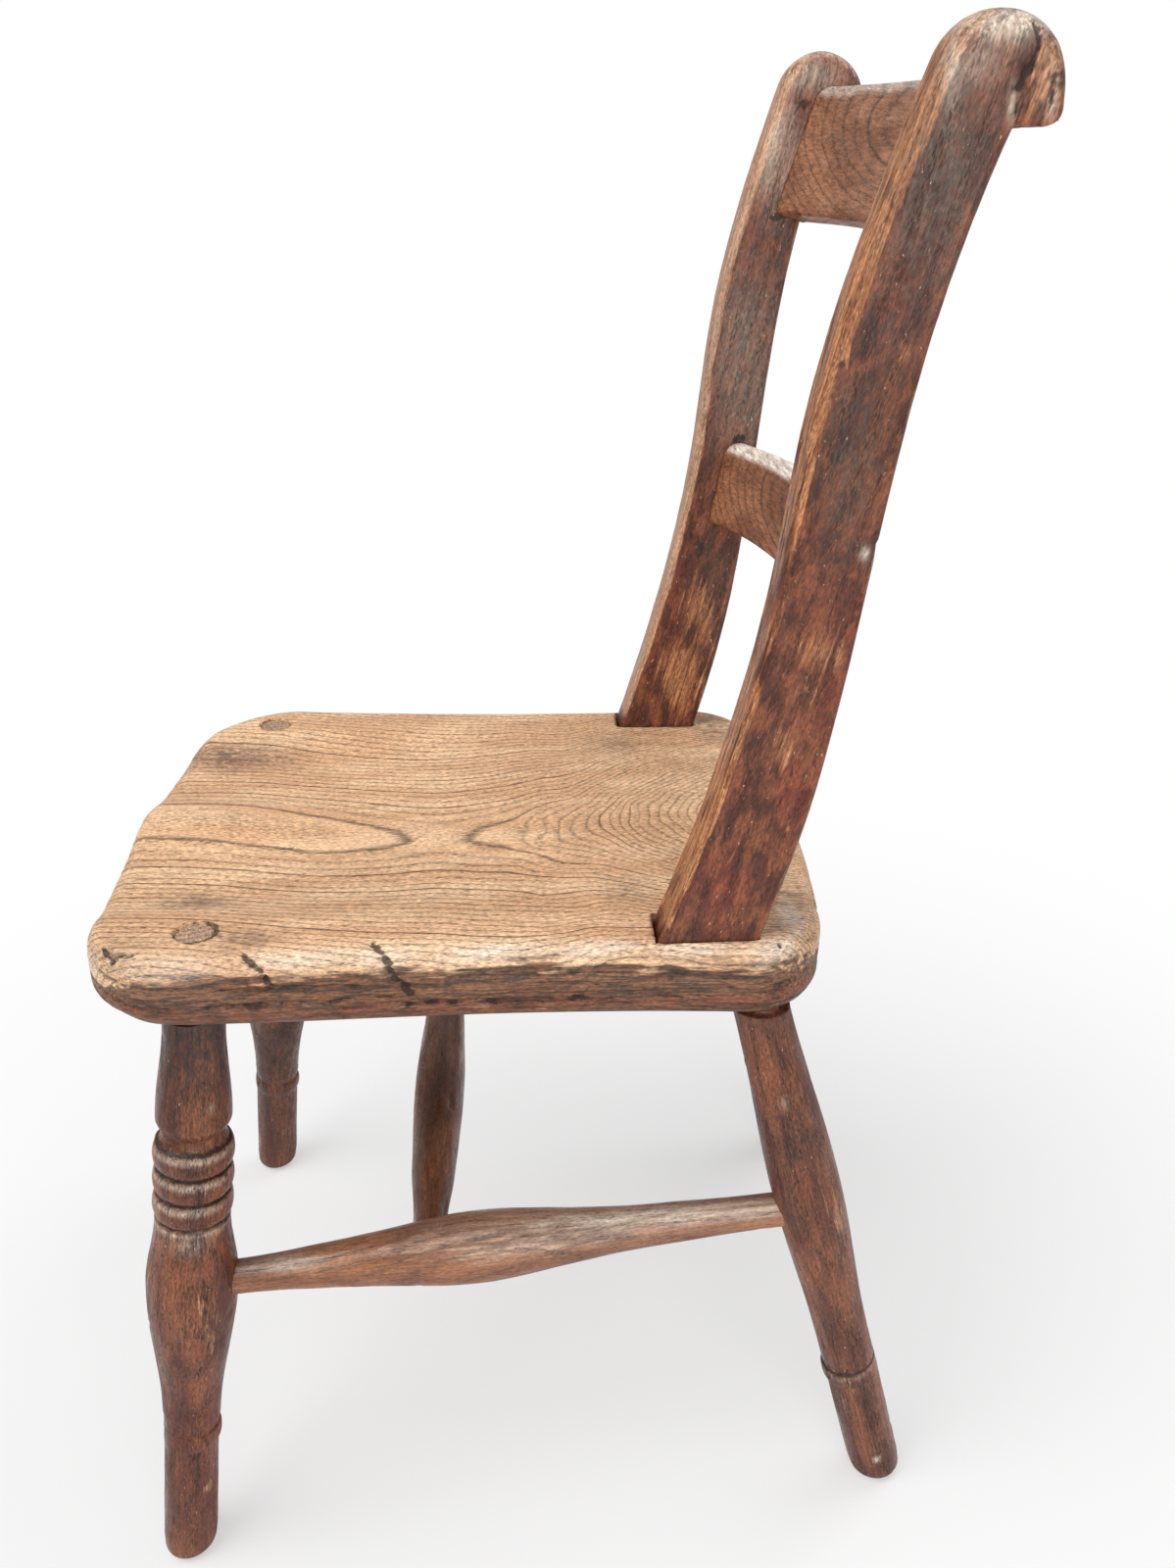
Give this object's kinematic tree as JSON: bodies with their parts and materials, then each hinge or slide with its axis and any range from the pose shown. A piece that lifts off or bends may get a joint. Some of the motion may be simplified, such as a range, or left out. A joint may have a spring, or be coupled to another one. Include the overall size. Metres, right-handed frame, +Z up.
{
  "type": "child kitchen chair",
  "caption": "Child's joined wooden kitchen chair: saddled plank seat on turned legs with an H of stretchers, and a back of scrolled stiles with bowed rails.",
  "frame": {"origin": "middle of the floor under the chair's bounding box", "axes": "+Z up from the floor, +X towards the sitter's left, +Y towards the back of the chair"},
  "size_m": [0.2942, 0.3794, 0.63],
  "materials": {
    "seat_elm": "worn golden-brown elm with dark open grain",
    "turned_beech": "dark stained and varnished turned hardwood, worn on the rings",
    "stretcher_beech": "dark stained turned hardwood, rubbed greyer",
    "stile_beech": "dark red-brown stained hardwood with pale worn edges",
    "rail_elm": "mid brown varnished elm with fine grain"
  },
  "bodies": {
    "root": {"seat_plank": "seat_elm", "front_leg_left": "turned_beech", "front_leg_right": "turned_beech", "back_leg_left": "turned_beech", "back_leg_right": "turned_beech", "side_stretcher_left": "stretcher_beech", "side_stretcher_right": "stretcher_beech", "cross_stretcher": "stretcher_beech", "stile_left": "stile_beech", "stile_right": "stile_beech", "mid_rail": "rail_elm", "top_rail": "rail_elm"}
  },
  "joints": []
}
